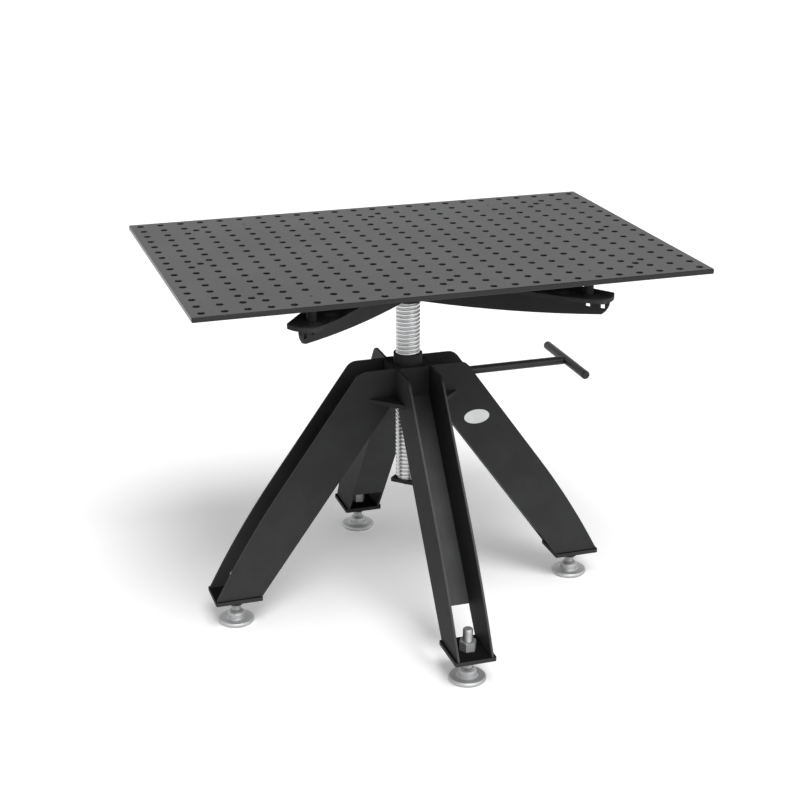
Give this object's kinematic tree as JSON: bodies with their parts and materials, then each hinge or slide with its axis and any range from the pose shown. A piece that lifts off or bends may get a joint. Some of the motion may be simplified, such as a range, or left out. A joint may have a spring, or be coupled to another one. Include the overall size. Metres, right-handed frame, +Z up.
{
  "type": "height adjustable rotating table",
  "caption": "Perforated steel clamping table on a screw spindle: turning the top raises or lowers it over a four-legged frame with levelling feet and a T-handle clamp.",
  "frame": {"origin": "on the floor, under the spindle's axis", "axes": "+X along the table top's long side, towards the clamp's T handle; +Y to the back; +Z up"},
  "size_m": [1.2, 1.013, 0.925],
  "materials": {
    "frame_black": "black powder coat, satin",
    "table_steel": "dark nitrided steel, matt",
    "bright_steel": "bare turned steel",
    "foot_zinc": "zinc plated",
    "handle_black": "black, half gloss",
    "screw_black": "blackened steel",
    "badge_metal": "bare brushed plate"
  },
  "bodies": {
    "frame": {"frame_plate_front": "frame_black", "frame_plate_back": "frame_black", "frame_plate_left": "frame_black", "frame_plate_right": "frame_black", "leg_web_front": "frame_black", "leg_web_back": "frame_black", "leg_web_left": "frame_black", "leg_web_right": "frame_black", "hub_plate_top": "frame_black", "hub_plate_bottom": "frame_black", "hub_gussets": "frame_black", "spindle_sleeve": "frame_black", "clamp_boss": "frame_black", "foot_plate_front": "frame_black", "foot_plate_back": "frame_black", "foot_plate_left": "frame_black", "foot_plate_right": "frame_black", "foot_bosses": "frame_black", "foot_lock_nuts": "foot_zinc", "badge_plate": "badge_metal"},
    "stop": {"stop_plate": "frame_black"},
    "table": {"spindle": "bright_steel", "stop_screw": "screw_black", "spindle_flange": "frame_black", "spider_rib_a": "frame_black", "spider_rib_b": "frame_black", "spider_arms": "frame_black", "table_posts": "frame_black", "table_top": "table_steel", "table_screws": "screw_black"},
    "pad": {"clamp_pad": "bright_steel"},
    "handle": {"clamp_rod": "handle_black", "clamp_cross_bar": "handle_black"},
    "disc_front": {"foot_disc_front": "foot_zinc", "foot_ring_front": "foot_zinc"},
    "stem_front": {"foot_stem_front": "foot_zinc"},
    "disc_back": {"foot_disc_back": "foot_zinc", "foot_ring_back": "foot_zinc"},
    "stem_back": {"foot_stem_back": "foot_zinc"},
    "disc_left": {"foot_disc_left": "foot_zinc", "foot_ring_left": "foot_zinc"},
    "stem_left": {"foot_stem_left": "foot_zinc"},
    "disc_right": {"foot_disc_right": "foot_zinc", "foot_ring_right": "foot_zinc"},
    "stem_right": {"foot_stem_right": "foot_zinc"}
  },
  "joints": [
    {"name": "table_height", "type": "slide", "parent": "frame", "child": "stop", "axis": [0, 0, 1], "range_m": [-0.1291, 0.2201]},
    {"name": "table_turn", "type": "hinge", "parent": "stop", "child": "table", "pos_m": [0, 0, 0.334], "axis": [0, 0, 1], "range_deg": [-4644, 7920]},
    {"name": "clamp_travel", "type": "slide", "parent": "frame", "child": "pad", "axis": [1, 0, 0], "range_m": [-0.00001, 0.00301]},
    {"name": "clamp_turn", "type": "hinge", "parent": "pad", "child": "handle", "pos_m": [0.07, 0, 0.59525], "axis": [1, 0, 0], "range_deg": [0, 540]},
    {"name": "foot_height_front", "type": "slide", "parent": "frame", "child": "disc_front", "axis": [0, 0, 1], "range_m": [-0.018, 0.012]},
    {"name": "foot_turn_front", "type": "hinge", "parent": "disc_front", "child": "stem_front", "pos_m": [0, -0.448, 0.018], "axis": [0, 0, 1], "range_deg": [-2161, 1441]},
    {"name": "foot_height_back", "type": "slide", "parent": "frame", "child": "disc_back", "axis": [0, 0, 1], "range_m": [-0.018, 0.012]},
    {"name": "foot_turn_back", "type": "hinge", "parent": "disc_back", "child": "stem_back", "pos_m": [0, 0.448, 0.018], "axis": [0, 0, 1], "range_deg": [-2161, 1441]},
    {"name": "foot_height_left", "type": "slide", "parent": "frame", "child": "disc_left", "axis": [0, 0, 1], "range_m": [-0.018, 0.012]},
    {"name": "foot_turn_left", "type": "hinge", "parent": "disc_left", "child": "stem_left", "pos_m": [-0.448, 0, 0.018], "axis": [0, 0, 1], "range_deg": [-2161, 1441]},
    {"name": "foot_height_right", "type": "slide", "parent": "frame", "child": "disc_right", "axis": [0, 0, 1], "range_m": [-0.018, 0.012]},
    {"name": "foot_turn_right", "type": "hinge", "parent": "disc_right", "child": "stem_right", "pos_m": [0.448, 0, 0.018], "axis": [0, 0, 1], "range_deg": [-2161, 1441]}
  ],
  "couplings": [
    {"joint": "table_height", "follows": "table_turn", "m_per_rad": 0.0015915},
    {"joint": "clamp_travel", "follows": "clamp_turn", "m_per_rad": 0.00031831},
    {"joint": "foot_turn_front", "follows": "foot_height_front", "rad_per_m": 2094.4},
    {"joint": "foot_turn_back", "follows": "foot_height_back", "rad_per_m": 2094.4},
    {"joint": "foot_turn_left", "follows": "foot_height_left", "rad_per_m": 2094.4},
    {"joint": "foot_turn_right", "follows": "foot_height_right", "rad_per_m": 2094.4}
  ]
}
